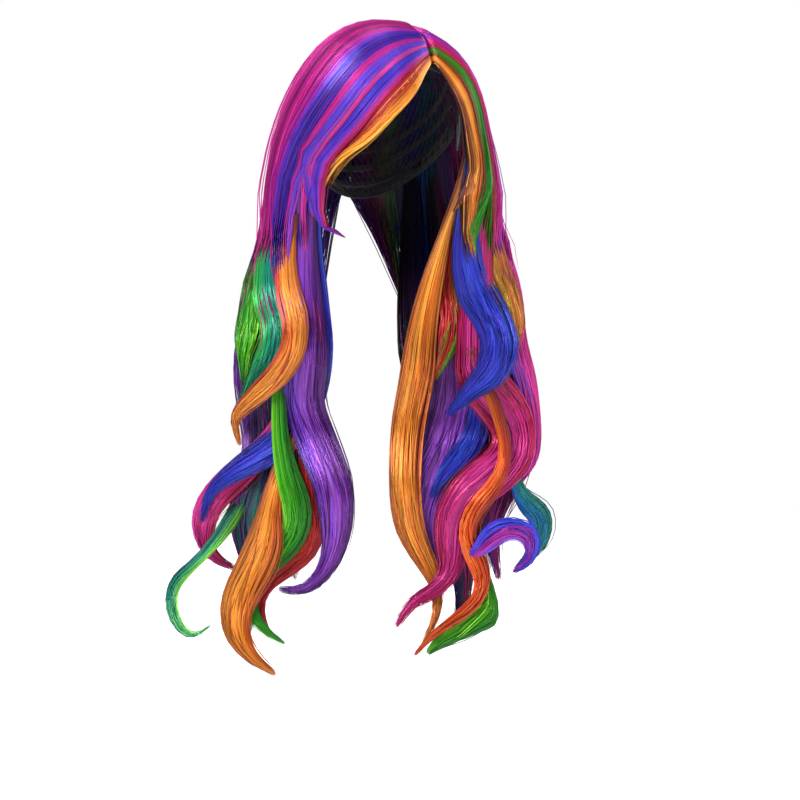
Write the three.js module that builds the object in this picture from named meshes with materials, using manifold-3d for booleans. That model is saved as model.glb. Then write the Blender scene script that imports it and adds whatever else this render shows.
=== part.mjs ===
// A costume wig: a stretch-net cap with sewn bands, ribbons and wefts, two flexible ear tabs, two
// adjusting straps with hooks, and long waved hair that is drawn forward over both shoulders.
// Millimetres and degrees. +Z is up and the wearer looks along -Y, so +X is the wearer's left.
// The origin is the middle of the head, at the level where the head is widest.
import * as THREE from "three";
import { mergeVertices } from "three/addons/utils/BufferGeometryUtils.js";
import Module from "manifold-3d";

const wasm = await Module();
wasm.setup();

// ---- Driving dimensions ----
const HEAD_WIDTH = 150;
const HEAD_LENGTH = 190;
const CROWN_HEIGHT = 100; // from the origin to the top of the head
const SHOULDER_TURN = 25; // the shoulders face this far to the wearer's right of the head

const EASE = 1; // between the head and the net
const NET_THICKNESS = 1.2;
const RIBBON_THICKNESS = 1.2;
const WEFT_THICKNESS = 1.6;
const TAPE_THICKNESS = 1;
const LAYER_GAP = 0.6; // between sewn layers
const BAND_WIDTH = 13;
const RIBBON_WIDTH = 12;
const WEFT_WIDTH = 6;
const RIM_SIDE = 98; // how far down from the crown the cap's edge lies above the ears
const RIM_TILT = 36.5; // how much higher it is in front, and lower at the nape

const EAR_TAB_TURN = 25; // the middle of each tab, forward of the ear
const EAR_TAB_SPREAD = 26;
const EAR_TAB_DROP = 21;
const EAR_TAB_THICKNESS = 2;
const STAY_WIDTH = 5;
const STAY_THICKNESS = 0.8;

const STRAP_WIDTH = 8;
const STRAP_START = 20; // from the middle of the nape to the strap's sewn end
const STRAP_END = 54;
const HOOK_LENGTH = 11;
const HOOK_THICKNESS = 1;
const SLOT_COUNT = 5;
const SLOT_PITCH = 6;
const SLOT_OPEN = 3.4;

const VOLUME_TOP = 14; // from the head to the outside of the hair
const VOLUME_SIDE = 27;
const VOLUME_FRONT = 19;
const HAIR_THICKNESS = 13;
const HAIR_GAP = 1.4;

const TRESS_TOP = -118; // where the loose lengths begin, just below the jaw
const TRESS_DROP = 458; // from there to the longest tip
const TRESS_RIGHT_X = -118; // the middle of each gathered tress, across the shoulders
const TRESS_LEFT_X = 88;
const TRESS_SWAY = 11; // how far the waves swing to and from the chest
const LOCK_THICKNESS = 8.5;
const LOCK_FULLNESS = 1.25;
const LOCK_CLEARANCE = 3; // between one layer of locks and the next

const rad = THREE.MathUtils.degToRad;
const smooth = THREE.MathUtils.smoothstep;
const lerp = THREE.MathUtils.lerp;

// ---- Closed solids ----

// Triangles of points as one closed geometry, turned so that its faces point outwards.
function closed(triangles) {
  const solid = triangles.filter(([a, b, c]) => a.distanceTo(b) > 1e-3 && b.distanceTo(c) > 1e-3 && c.distanceTo(a) > 1e-3);
  const volume = solid.reduce((sum, [a, b, c]) => sum + a.dot(b.clone().cross(c)), 0);
  const points = solid.flatMap(([a, b, c]) => (volume < 0 ? [a, c, b] : [a, b, c]));
  return mergeVertices(new THREE.BufferGeometry().setFromPoints(points), 1e-3);
}

function quad(a, b, c, d) {
  return [
    [a, b, c],
    [a, c, d],
  ];
}

// A solid swept through rings of points, with a flat fan at each end.
function sweep(rings) {
  const count = rings[0].length;
  const triangles = [];
  for (let i = 0; i + 1 < rings.length; i++)
    for (let k = 0; k < count; k++) {
      const next = (k + 1) % count;
      triangles.push(...quad(rings[i][k], rings[i][next], rings[i + 1][next], rings[i + 1][k]));
    }
  const first = rings[0];
  const last = rings[rings.length - 1];
  for (let k = 1; k + 1 < count; k++) {
    triangles.push([first[0], first[k + 1], first[k]]);
    triangles.push([last[0], last[k], last[k + 1]]);
  }
  return closed(triangles);
}

// A closed patch of skin with four edges: at(share across, share down, outside) gives its points.
function skin(at, across, down) {
  const triangles = [];
  for (let i = 0; i < across; i++) {
    const u = i / across;
    const w = (i + 1) / across;
    for (let j = 0; j < down; j++) {
      const v = j / down;
      const x = (j + 1) / down;
      triangles.push(...quad(at(u, v, true), at(w, v, true), at(w, x, true), at(u, x, true)));
      triangles.push(...quad(at(u, v, false), at(u, x, false), at(w, x, false), at(w, v, false)));
    }
    triangles.push(...quad(at(u, 1, true), at(w, 1, true), at(w, 1, false), at(u, 1, false)));
    triangles.push(...quad(at(u, 0, true), at(u, 0, false), at(w, 0, false), at(w, 0, true)));
  }
  for (let j = 0; j < down; j++) {
    const v = j / down;
    const x = (j + 1) / down;
    triangles.push(...quad(at(0, v, true), at(0, x, true), at(0, x, false), at(0, v, false)));
    triangles.push(...quad(at(1, v, true), at(1, v, false), at(1, x, false), at(1, x, true)));
  }
  return closed(triangles);
}

// The same all round the head and closed over the crown: at(turn, share down, outside).
function allRound(at, around, down) {
  const triangles = [];
  const step = 360 / around;
  for (let i = 0; i < around; i++) {
    const u = step * i;
    const w = step * ((i + 1) % around);
    for (let j = 0; j < down; j++) {
      const v = j / down;
      const x = (j + 1) / down;
      triangles.push(...quad(at(u, v, true), at(w, v, true), at(w, x, true), at(u, x, true)));
      triangles.push(...quad(at(u, v, false), at(u, x, false), at(w, x, false), at(w, v, false)));
    }
    triangles.push(...quad(at(u, 1, true), at(w, 1, true), at(w, 1, false), at(u, 1, false)));
  }
  return closed(triangles);
}

const toManifold = (geometry) =>
  new wasm.Manifold(
    new wasm.Mesh({
      numProp: 3,
      vertProperties: geometry.attributes.position.array,
      triVerts: new Uint32Array(geometry.index.array),
    }),
  );

function fromManifold(solid) {
  const mesh = solid.getMesh();
  return new THREE.BufferGeometry()
    .setAttribute("position", new THREE.BufferAttribute(mesh.vertProperties, 3))
    .setIndex(new THREE.BufferAttribute(mesh.triVerts, 1));
}

// ---- The head and the cap's layers on it ----

// A point on the head, out from it by some distance: turn runs round +Z from the wearer's left, and fall
// runs down from the crown.
function onHead(turn, fall, out) {
  const across = Math.sin(rad(fall));
  return new THREE.Vector3(
    (HEAD_WIDTH / 2 + out) * across * Math.cos(rad(turn)),
    (HEAD_LENGTH / 2 + out) * across * Math.sin(rad(turn)),
    (CROWN_HEIGHT + out) * Math.cos(rad(fall)),
  );
}

// The same from a flat map of the head, whose middle is the crown and whose distances are degrees of fall.
const onMap = (x, y, out) => onHead(THREE.MathUtils.radToDeg(Math.atan2(y, x)), Math.hypot(x, y), out);

const rimFall = (turn) => RIM_SIDE + RIM_TILT * Math.sin(rad(turn));
const degreesOf = (length) => (length / CROWN_HEIGHT) * (180 / Math.PI);

const NET_OUT = EASE + NET_THICKNESS;
const RIBBON_IN = NET_OUT + LAYER_GAP;
const RIBBON_OUT = RIBBON_IN + RIBBON_THICKNESS;
const WEFT_IN = RIBBON_OUT + LAYER_GAP;
const WEFT_OUT = WEFT_IN + WEFT_THICKNESS;
const TAPE_OUT = EASE - LAYER_GAP - 0.8;
const TAPE_IN = TAPE_OUT - TAPE_THICKNESS;
const HOOK_OUT = TAPE_IN - LAYER_GAP;
const HOOK_IN = HOOK_OUT - HOOK_THICKNESS;

// A flat strip on the head: edges(share) gives its two edges as [turn, fall] pairs.
function strip(edges, inner, outer, steps, place = onHead) {
  const rings = [];
  for (let i = 0; i <= steps; i++) {
    const [a, b] = edges(i / steps);
    rings.push([place(...a, inner), place(...a, outer), place(...b, outer), place(...b, inner)]);
  }
  return sweep(rings);
}

// A strip that follows the cap's edge between two turns, some way above it.
function rimStrip(from, to, above, width, inner, outer, steps) {
  const high = degreesOf(above + width);
  const low = degreesOf(above);
  return strip(
    (share) => {
      const turn = lerp(from, to, share);
      return [
        [turn, rimFall(turn) - high],
        [turn, rimFall(turn) - low],
      ];
    },
    inner,
    outer,
    steps,
  );
}

const group = new THREE.Group();
const head = new THREE.Group();
const shoulders = new THREE.Group();
shoulders.rotation.z = rad(-SHOULDER_TURN);
group.add(head, shoulders);

function add(parent, name, geometry, material) {
  const mesh = new THREE.Mesh(geometry, material);
  mesh.name = name;
  parent.add(mesh);
}

const cloth = (color) => new THREE.MeshStandardMaterial({ color, roughness: 0.85, metalness: 0 });
const netBlack = cloth(0x1a1418);
const bandBlack = cloth(0x15131a);
const weftBlack = cloth(0x2a1c2c);
const skinTop = new THREE.MeshStandardMaterial({ color: 0xe8c8b4, roughness: 0.6, metalness: 0 });
const steel = new THREE.MeshStandardMaterial({ color: 0xb8bcc2, roughness: 0.3, metalness: 1 });
const hookPlastic = new THREE.MeshStandardMaterial({ color: 0x101014, roughness: 0.4, metalness: 0 });

// ---- Cap: net, bands, ribbons, parting patch and wefts ----
const FRONT_FROM = -170;
const FRONT_TO = -10;
const NAPE_FROM = -4;
const NAPE_TO = 184;
const FRONT_MID = -90;

add(
  head,
  "cap_net",
  allRound((turn, v, outside) => onHead(turn, v * rimFall(turn), outside ? NET_OUT : EASE), 40, 11),
  netBlack,
);
add(head, "front_band", rimStrip(FRONT_FROM, FRONT_TO, 0, BAND_WIDTH, RIBBON_IN, RIBBON_OUT, 30), bandBlack);
add(head, "nape_band", rimStrip(NAPE_FROM, NAPE_TO, 0, BAND_WIDTH, RIBBON_IN, RIBBON_OUT, 34), bandBlack);

// A ribbon from the front band to the nape band, bowed sideways on the map of the head.
function ribbon(bow, steps = 22) {
  const clear = degreesOf(BAND_WIDTH) + 2;
  const half = degreesOf(RIBBON_WIDTH / 2);
  const front = -(rimFall(FRONT_MID) - clear) * Math.sqrt(1 - (bow / 75) ** 2);
  const back = (rimFall(-FRONT_MID) - clear) * Math.sqrt(1 - (bow / 95) ** 2);
  return strip(
    (share) => {
      const y = lerp(front, back, share);
      return [
        [bow - half, y],
        [bow + half, y],
      ];
    },
    RIBBON_IN,
    RIBBON_OUT,
    steps,
    onMap,
  );
}
add(head, "centre_ribbon", ribbon(0), bandBlack);
add(head, "side_ribbon_right", ribbon(-42), bandBlack);
add(head, "side_ribbon_left", ribbon(42), bandBlack);

// The parting patch lies a little to the wearer's left, from the hairline to the crown.
const PART_X = 11;
const PART_FRONT = -52;
const PART_BACK = 12;
const PATCH_HALF = 8;
add(
  head,
  "parting_patch",
  strip(
    (share) => {
      const y = lerp(PART_FRONT, PART_BACK, share);
      const half = PATCH_HALF * Math.sqrt(1 - (2 * share - 1) ** 4 * 0.8);
      return [
        [PART_X - half, y],
        [PART_X + half, y],
      ];
    },
    WEFT_IN,
    WEFT_IN + RIBBON_THICKNESS,
    12,
    onMap,
  ),
  skinTop,
);

// Rows of weft run round the back from temple to temple, each closer to the nape than the last.
const WEFT_ROWS = [56, 37, 18]; // above the cap's edge
WEFT_ROWS.forEach((above, row) => {
  const reach = 96 - 5 * row;
  const weft = rimStrip(90 - reach, 90 + reach, above, WEFT_WIDTH, WEFT_IN, WEFT_OUT, 32);
  add(head, `weft_row_${row + 1}`, weft, weftBlack);
});

// ---- Ear tabs with their stays, straps, hooks and loop tapes: one of each on both sides ----
for (const [side, facing] of [
  ["left", 1],
  ["right", -1],
]) {
  // Turns are given for the wearer's left, and mirrored to the right.
  const turned = (turn) => (facing > 0 ? turn : 180 - turn);

  // The tab hangs from the cap's edge, and is rounded off below.
  const tabTop = degreesOf(2);
  const tab = (u, v, outside) => {
    const turn = -EAR_TAB_TURN + (u - 0.5) * EAR_TAB_SPREAD * lerp(1, 0.8, v);
    const drop = EAR_TAB_DROP * Math.sqrt(1 - 0.8 * (2 * u - 1) ** 2);
    return onHead(turned(turn), rimFall(turn) + tabTop + drop * v, EASE + (outside ? EAR_TAB_THICKNESS : 0));
  };
  add(head, `ear_tab_${side}`, skin(tab, 8, 5), bandBlack);

  const stayOut = EASE - LAYER_GAP;
  const stay = (u, v, outside) => {
    const turn = -EAR_TAB_TURN + (u - 0.5) * degreesOf(STAY_WIDTH);
    const fall = rimFall(turn) + tabTop + lerp(1.5, EAR_TAB_DROP - 2, v);
    return onHead(turned(turn), fall, stayOut - (outside ? 0 : STAY_THICKNESS));
  };
  add(head, `ear_stay_${side}`, skin(stay, 2, 5), steel);

  // A strip at the straps' level, between two turns counted from the middle of the nape.
  const level = BAND_WIDTH / 2;
  const napeStrip = (from, to, width, inner, outer, steps) =>
    rimStrip(turned(90 - from), turned(90 - to), level - width / 2, width, inner, outer, steps);
  const strap = napeStrip(STRAP_START, STRAP_END, STRAP_WIDTH, TAPE_IN, TAPE_OUT, 10);
  add(head, `strap_${side}`, strap, bandBlack);

  const tapeStart = STRAP_END + 5;
  let tape = toManifold(
    napeStrip(tapeStart, tapeStart + SLOT_PITCH * SLOT_COUNT, STRAP_WIDTH + 3, TAPE_IN, TAPE_OUT, 12),
  );
  for (let slot = 0; slot < SLOT_COUNT; slot++) {
    const from = tapeStart + SLOT_PITCH * (slot + 0.5) - SLOT_OPEN / 2;
    const cut = napeStrip(from, from + SLOT_OPEN, STRAP_WIDTH - 1, TAPE_IN - 1, TAPE_OUT + 1, 2);
    tape = tape.subtract(toManifold(cut));
  }
  add(head, `loop_tape_${side}`, fromManifold(tape), bandBlack);

  // The hook lies inside the tape, and its turned tip reaches out through the first slot.
  const tip = tapeStart + SLOT_PITCH / 2;
  const hookStart = tip + 0.6 - degreesOf(HOOK_LENGTH) * 0.8;
  const plate = napeStrip(hookStart, tip + 0.6, STRAP_WIDTH - 2, HOOK_IN, HOOK_OUT, 4);
  const bent = napeStrip(tip - 0.5, tip + 0.5, STRAP_WIDTH - 4, HOOK_OUT - 0.4, TAPE_OUT - 0.3, 1);
  add(head, `strap_hook_${side}`, fromManifold(toManifold(plate).add(toManifold(bent))), hookPlastic);
}

// ---- Hair on the cap: two sheets of strips that fall from the parting and cover the cap ----

// A point of the hair's outside, in by some depth, from the map of the head. Past the widest level the
// hair hangs straight down, swelled out or drawn in by swell.
function onHair(x, y, swell, depth) {
  const fall = Math.hypot(x, y);
  const turn = Math.atan2(y, x);
  const across = Math.sin(rad(Math.min(fall, 90))) * swell;
  const height = CROWN_HEIGHT + VOLUME_TOP - depth;
  return new THREE.Vector3(
    (HEAD_WIDTH / 2 + VOLUME_SIDE - depth) * across * Math.cos(turn),
    (HEAD_LENGTH / 2 + VOLUME_FRONT - depth) * across * Math.sin(turn),
    fall < 90 ? height * Math.cos(rad(fall)) : -(CROWN_HEIGHT + VOLUME_TOP) * rad(fall - 90),
  );
}

// Each guide is a line of hair from the parting to the jaw, through five places on the map of the head,
// with the swell there. The first guide of a sheet is the one by the face, and the last runs down the
// middle of the back.
const RIGHT_GUIDES = [
  [[7, -60, 0.99], [-16, -81, 0.99], [-59, -89, 0.97], [-98, -75, 0.97], [-121, -77, 0.97]],
  [[7, -44, 1], [-27, -53, 1], [-68, -53, 1.02], [-105, -36, 1.11], [-137, -17, 1.17]],
  [[6, -21, 1], [-32, -8, 1], [-72, 6, 1.04], [-103, 28, 1.18], [-133, 44, 1.26]],
  [[7, 2, 1], [-20, 30, 1], [-48, 62, 1.03], [-72, 90, 1.12], [-88, 108, 1.16]],
  [[9, 9, 1], [7, 40, 1], [6, 80, 1.02], [4, 112, 1.07], [-18, 132, 1.08]],
];
const LEFT_GUIDES = [
  [[11, -60, 0.99], [30, -76, 0.98], [55, -82, 0.94], [76, -88, 0.94], [66, -116, 0.9]],
  [[15, -37, 1], [45, -35, 1], [78, -38, 1.05], [103, -50, 1.15], [127, -64, 1.21]],
  [[15, -8, 1], [52, 4, 1], [86, 10, 1.05], [112, 14, 1.15], [134, 8, 1.2]],
  [[13, 4, 1], [38, 34, 1], [66, 62, 1.03], [88, 86, 1.12], [102, 100, 1.16]],
  [[11, 9, 1], [11, 40, 1], [10, 80, 1.02], [9, 112, 1.07], [28, 130, 1.08]],
];

const curveThrough = (points) => new THREE.CatmullRomCurve3(points.map((p) => new THREE.Vector3(...p)), false, "centripetal");

// The line of hair at a share of the way across a sheet of guides.
function lineAt(guides, share) {
  const places = guides[0].map((_, k) => curveThrough(guides.map((guide) => guide[k])).getPoint(share));
  return new THREE.CatmullRomCurve3(places, false, "centripetal");
}

// One strip of a sheet, between two lines. It is thin at the parting, and thickest at the jaw.
function hairStrip(guides, from, to, steps = 11) {
  const lines = [0, 0.25, 0.75, 1].map((share) => lineAt(guides, lerp(from, to, share)));
  const rings = [];
  for (let i = 0; i <= steps; i++) {
    const down = i / steps;
    const rise = lerp(VOLUME_TOP * 0.35, 0, smooth(down, 0, 0.3));
    const thickness = lerp(2.5, HAIR_THICKNESS, smooth(down, 0.05, 0.75));
    const [edge, third, twoThirds, other] = lines.map((line) => line.getPoint(down));
    const at = (p, depth) => onHair(p.x, p.y, p.z, rise + depth);
    const a = at(edge, thickness / 2);
    const b = at(other, thickness / 2);
    const inset = b.clone().sub(a).setLength(HAIR_GAP / 2);
    rings.push([
      a.add(inset),
      at(third, 0),
      at(twoThirds, 0),
      b.sub(inset),
      at(twoThirds, thickness),
      at(third, thickness),
    ]);
  }
  return sweep(rings);
}

const dye = (color) => new THREE.MeshStandardMaterial({ color, roughness: 0.35, metalness: 0 });
const magenta = dye(0xb82a86);
const pink = dye(0xd458b8);
const violet = dye(0x5a3cc8);
const purple = dye(0x7a2c9c);
const indigo = dye(0x2a1c86);
const blue = dye(0x3450dc);
const teal = dye(0x1f9a86);
const green = dye(0x48b020);
const orange = dye(0xe08a3a);
const red = dye(0xcc2420);

// [name, share where it ends, colour], starting from the face.
const RIGHT_STRIPS = [
  ["fringe_edge", 0.1, orange],
  ["fringe_inner", 0.19, magenta],
  ["fringe_middle", 0.29, violet],
  ["fringe_outer", 0.41, violet],
  ["side_hair_right", 0.58, magenta],
  ["back_hair_right_outer", 0.79, purple],
  ["back_hair_right_inner", 1, indigo],
];
const LEFT_STRIPS = [
  ["face_hair_left", 0.08, orange],
  ["temple_hair_left", 0.17, green],
  ["side_hair_left", 0.46, magenta],
  ["back_hair_left_outer", 0.73, pink],
  ["back_hair_left_inner", 1, blue],
];
for (const [guides, strips] of [
  [RIGHT_GUIDES, RIGHT_STRIPS],
  [LEFT_GUIDES, LEFT_STRIPS],
]) {
  let from = 0;
  for (const [name, to, material] of strips) {
    add(head, name, hairStrip(guides, from, to), material);
    from = to;
  }
}

// ---- Tresses: the loose lengths, gathered over the front of each shoulder ----

// How far back a tress's front face lies. inward is towards the neck and drop is a share of the length.
// At the top it follows the side of the head, lower down it hangs flatter, and it sways all the way.
function tressFace(inward, drop) {
  const slant = lerp(-0.85, -0.2, smooth(drop, 0, 0.35));
  return lerp(-46, -40, drop) + slant * inward + TRESS_SWAY * Math.sin(2 * Math.PI * (drop / 0.34));
}

// A lock is a flat ribbon of hair. Its places are [across from the middle of the tress towards the
// wearer's left, per cent of the tress's drop], and its layer counts back from the tress's face. A lock
// from the back of the head starts further back, and comes forward to its layer on the way down.
function lock(tress, layer, width, places, { root = 0.7, tip = 0.25, back = null } = {}) {
  const points = places.map(([across, percent]) => new THREE.Vector3(across, 0, (-TRESS_DROP * percent) / 100));
  const curve = new THREE.CatmullRomCurve3(points, false, "centripetal");
  const steps = Math.max(6, Math.round(curve.getLength() / 30));
  const depth = new THREE.Vector3(0, 1, 0);
  const rings = [];
  for (let i = 0; i <= steps; i++) {
    const share = i / steps;
    const middle = curve.getPointAt(share);
    const across = depth.clone().cross(curve.getTangentAt(share)).normalize();
    const full = lerp(root, 1, smooth(share, 0, 0.3)) * lerp(1, tip, smooth(share, 0.6, 1));
    const half = (width * LOCK_FULLNESS * full) / 2;
    const thin = (LOCK_THICKNESS / 2) * Math.sqrt(full);
    const at = (sideways, backwards) => {
      const point = middle.clone().addScaledVector(across, sideways * half);
      const drop = -point.z / TRESS_DROP;
      const behind = layer * (LOCK_THICKNESS + LOCK_CLEARANCE);
      const face = tressFace(point.x * tress.inward, drop);
      const y = behind + (back === null ? face : lerp(back, face, smooth(drop, 0, 0.3)));
      return new THREE.Vector3(tress.x + point.x, y + backwards * thin, TRESS_TOP + point.z);
    };
    rings.push([at(-1, 0), at(-0.5, -1), at(0.5, -1), at(1, 0), at(0.5, 1), at(-0.5, 1)]);
  }
  return sweep(rings);
}

const RIGHT = { name: "right", x: TRESS_RIGHT_X, inward: 1 };
const LEFT = { name: "left", x: TRESS_LEFT_X, inward: -1 };

// [name, colour, tress, layer, width, places, options]
const LOCKS = [
  ["teal", teal, RIGHT, 2, 32, [[3, 0], [-5, 9], [6, 17], [9, 24], [-6, 32], [-29, 38], [-40, 42]]],
  ["lime", green, RIGHT, 3, 20, [[-9, 1], [-20, 11], [-29, 23], [-31, 34]]],
  ["orange", orange, RIGHT, 0, 20, [[10, 0], [11, 9], [24, 17], [25, 25], [3, 33], [-28, 39], [-43, 44], [-33, 48]]],
  ["violet", violet, RIGHT, 1, 31, [
    [27, 0], [31, 11], [39, 20], [36, 30], [32, 38], [45, 47], [63, 56], [68, 66], [59, 75], [34, 81], [6, 81],
  ]],
  ["indigo", indigo, RIGHT, 2, 25, [
    [45, 3], [47, 16], [47, 26], [40, 35], [26, 42], [4, 48], [-32, 53], [-64, 58], [-75, 66],
  ]],
  ["magenta", magenta, RIGHT, 3, 23, [
    [22, 38], [0, 47], [-38, 55], [-66, 61], [-77, 69], [-66, 75], [-42, 77],
  ]],
  ["green", green, RIGHT, 1, 23, [
    [-8, 35], [-4, 43], [9, 51], [24, 59], [29, 66], [12, 72], [-15, 76], [-28, 82], [-15, 89], [15, 93],
  ]],
  ["amber", orange, RIGHT, 0, 29, [
    [-6, 51], [-8, 57], [-1, 65], [-14, 74], [-35, 82], [-38, 90], [-21, 96], [5, 100],
  ]],
  ["red", red, RIGHT, 2, 24, [[24, 52], [37, 59], [43, 67], [26, 73], [-5, 78], [-18, 84], [-2, 92]]],
  ["ringlet", teal, RIGHT, 0, 10, [[-48, 73], [-80, 75], [-107, 81], [-102, 88], [-80, 92], [-64, 89]]],
  ["back_outer", indigo, RIGHT, 4, 40, [[-8, 0], [-9, 17], [-14, 34], [-8, 50], [-26, 66], [-20, 80], [-26, 92]], { back: -10 }],
  ["back_middle", magenta, RIGHT, 5, 40, [[12, 0], [14, 17], [4, 34], [22, 50], [10, 66], [22, 80]], { back: 16.5 }],
  ["back_inner", purple, RIGHT, 6, 34, [[30, 3], [34, 15], [24, 32], [34, 48], [38, 62], [44, 72]], { back: 23 }],

  ["blue", blue, LEFT, 0, 30, [[-13, 0], [-2, 9], [18, 17], [31, 24], [21, 32], [-5, 37], [-23, 41]]],
  ["magenta", magenta, LEFT, 1, 34, [
    [6, 1], [12, 10], [3, 21], [4, 29], [26, 37], [44, 43], [46, 49], [22, 55], [-6, 60], [-18, 67], [-16, 74],
    [-28, 80], [-56, 83], [-76, 89],
  ]],
  ["amber", orange, LEFT, 2, 25, [[22, 0], [30, 8], [42, 16], [46, 23], [37, 29]]],
  ["rose", pink, LEFT, 3, 16, [[42, 0], [51, 12], [49, 23], [60, 33], [71, 44], [70, 52], [54, 57]]],
  ["red", red, LEFT, 2, 18, [[-20, 2], [-22, 10], [-18, 18], [-24, 26], [-36, 33]]],
  ["orange", orange, LEFT, 2, 25, [
    [-46, 3], [-48, 13], [-50, 25], [-56, 34], [-64, 43], [-67, 52], [-66, 61], [-55, 71], [-37, 78], [-32, 85],
    [-48, 93],
  ]],
  ["violet", violet, LEFT, 3, 42, [
    [-17, 0], [-9, 13], [-11, 25], [-15, 35], [-24, 45], [-40, 54], [-50, 62], [-44, 71], [-24, 79],
  ]],
  ["indigo", indigo, LEFT, 2, 19, [[8, 33], [13, 41], [-1, 49], [-28, 55], [-40, 60]]],
  ["crimson", red, LEFT, 0, 15, [
    [42, 42], [58, 45], [62, 49], [49, 55], [17, 59], [-4, 66], [2, 73], [20, 79], [4, 85], [-32, 89], [-57, 95],
  ]],
  ["teal", teal, LEFT, 2, 18, [[30, 54], [54, 60], [77, 65], [73, 72], [50, 77]]],
  ["spiral", blue, LEFT, -1, 18, [[0, 80], [9, 72], [35, 67], [62, 68], [67, 73], [46, 77]]],
  ["green", green, LEFT, 1, 24, [[22, 77], [31, 84], [8, 87], [-16, 90], [-44, 95]]],
  ["back_outer", purple, LEFT, 4, 40, [[6, 0], [22, 17], [22, 34], [40, 50], [24, 66], [34, 80]], { back: 21 }],
  ["back_middle", teal, LEFT, 5, 40, [[-26, 0], [-16, 17], [-16, 34], [0, 50], [-16, 66], [-4, 82], [-14, 92]], { back: 38.5 }],
  ["back_inner", indigo, LEFT, 6, 32, [[-62, 3], [-56, 15], [-46, 32], [-30, 48], [-44, 62], [-36, 74]], { back: 46 }],
];
for (const [name, material, tress, layer, width, places, options] of LOCKS)
  add(shoulders, `lock_${tress.name}_${name}`, lock(tress, layer, width, places, options), material);

export default group;
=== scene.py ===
import math

import bpy
import numpy as np
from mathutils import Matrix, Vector


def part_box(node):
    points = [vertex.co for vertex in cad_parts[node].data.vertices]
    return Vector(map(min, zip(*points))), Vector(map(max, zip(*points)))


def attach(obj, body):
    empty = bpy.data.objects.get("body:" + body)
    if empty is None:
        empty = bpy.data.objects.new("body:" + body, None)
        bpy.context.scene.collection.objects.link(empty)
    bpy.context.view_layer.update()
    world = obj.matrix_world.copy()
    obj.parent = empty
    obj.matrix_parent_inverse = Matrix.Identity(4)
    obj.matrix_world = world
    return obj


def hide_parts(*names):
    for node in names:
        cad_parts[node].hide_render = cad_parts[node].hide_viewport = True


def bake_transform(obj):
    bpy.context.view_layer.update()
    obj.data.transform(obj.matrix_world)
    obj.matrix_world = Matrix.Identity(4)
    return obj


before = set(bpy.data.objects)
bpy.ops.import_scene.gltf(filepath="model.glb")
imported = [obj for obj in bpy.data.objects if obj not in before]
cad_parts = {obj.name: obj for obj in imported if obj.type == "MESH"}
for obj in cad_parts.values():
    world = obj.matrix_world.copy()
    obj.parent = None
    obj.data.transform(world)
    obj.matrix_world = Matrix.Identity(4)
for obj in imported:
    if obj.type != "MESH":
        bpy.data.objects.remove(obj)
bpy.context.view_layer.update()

# ---- Cap net ----
# The stretch dome that everything is sewn to: black nylon thread knitted on the bias into an open net.
# It is drawn here thread by thread, in two families of threads that cross on the dome.
NET_HALF_WALL = 0.0006
NET_SEMI_AXES = np.array(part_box("cap_net")[1]) - NET_HALF_WALL
RIM_SIDE, RIM_TILT = 98.0, 36.5  # degrees down from the crown above the ears, and the change fore and aft
NET_THREADS = 68  # in each of the two families
THREAD_RADIUS = 0.00042
THREAD_STEPS = 56
THREAD_SWEEP = 95  # degrees that a thread turns on its way down
NET_START, RIM_MARGIN = 7, 0.6  # degrees from the crown to the first knot, and from the last to the edge
CROSSING = 0.0002  # how far each family lies from the middle of the net


def on_dome(turn, fall, out=0.0):
    """The dome's semi-axes, grown by out, times (sin fall cos turn, sin fall sin turn, cos fall)."""
    turn, fall = np.radians(turn), np.radians(fall)
    x, y, z = NET_SEMI_AXES
    return np.stack([(x + out) * np.sin(fall) * np.cos(turn), (y + out) * np.sin(fall) * np.sin(turn),
                     (z + out) * np.cos(fall)], -1)


def rim_fall(turn):
    """How far down from the crown the cap's edge lies: a mean plus a tilt times the sine of the turn."""
    return RIM_SIDE + RIM_TILT * np.sin(np.radians(turn))


def unit(vectors):
    """Each vector divided by its length."""
    return vectors / np.maximum(np.linalg.norm(vectors, axis=-1, keepdims=True), 1e-12)


def tube_faces(count, steps, sides, base=0):
    """Vertex numbers of the walls and the two ends of count closed tubes, each of steps rings of sides
    corners: base + (tube × steps + ring) × sides + corner."""
    def at(tube, ring, corner):
        return base + (tube * steps + ring) * sides + corner % sides

    i, j, k = np.meshgrid(np.arange(count), np.arange(steps - 1), np.arange(sides), indexing="ij")
    walls = np.stack([at(i, j, k), at(i, j, k + 1), at(i, j + 1, k + 1), at(i, j + 1, k)], -1)
    i, k = np.meshgrid(np.arange(count), np.arange(sides), indexing="ij")
    ends = np.concatenate([at(i, 0, k)[:, ::-1], at(i, steps - 1, k)])
    return walls.reshape(-1, 4), ends


def tube_points(paths, radii, sides, flat=1.0):
    """Rings about each path's points: point + radius × (cos × normal + flat × sin × cross normal). The
    normal is carried along each path without twisting."""
    along = unit(np.gradient(paths, axis=1))
    first = along[:, 0]
    helper = np.where(np.abs(first[:, :1]) < 0.6, [[1.0, 0, 0]], [[0, 1.0, 0]])
    normal = np.empty_like(paths)
    normal[:, 0] = unit(np.cross(np.cross(first, helper), first))
    for step in range(1, paths.shape[1]):
        before, way = normal[:, step - 1], along[:, step]
        normal[:, step] = unit(before - (before * way).sum(-1, keepdims=True) * way)
    cross = np.cross(along, normal)
    angle = 2 * np.pi * np.arange(sides) / sides
    ring = np.cos(angle)[:, None] * normal[:, :, None] + flat * np.sin(angle)[:, None] * cross[:, :, None]
    return paths[:, :, None] + radii[..., None, None] * ring


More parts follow.
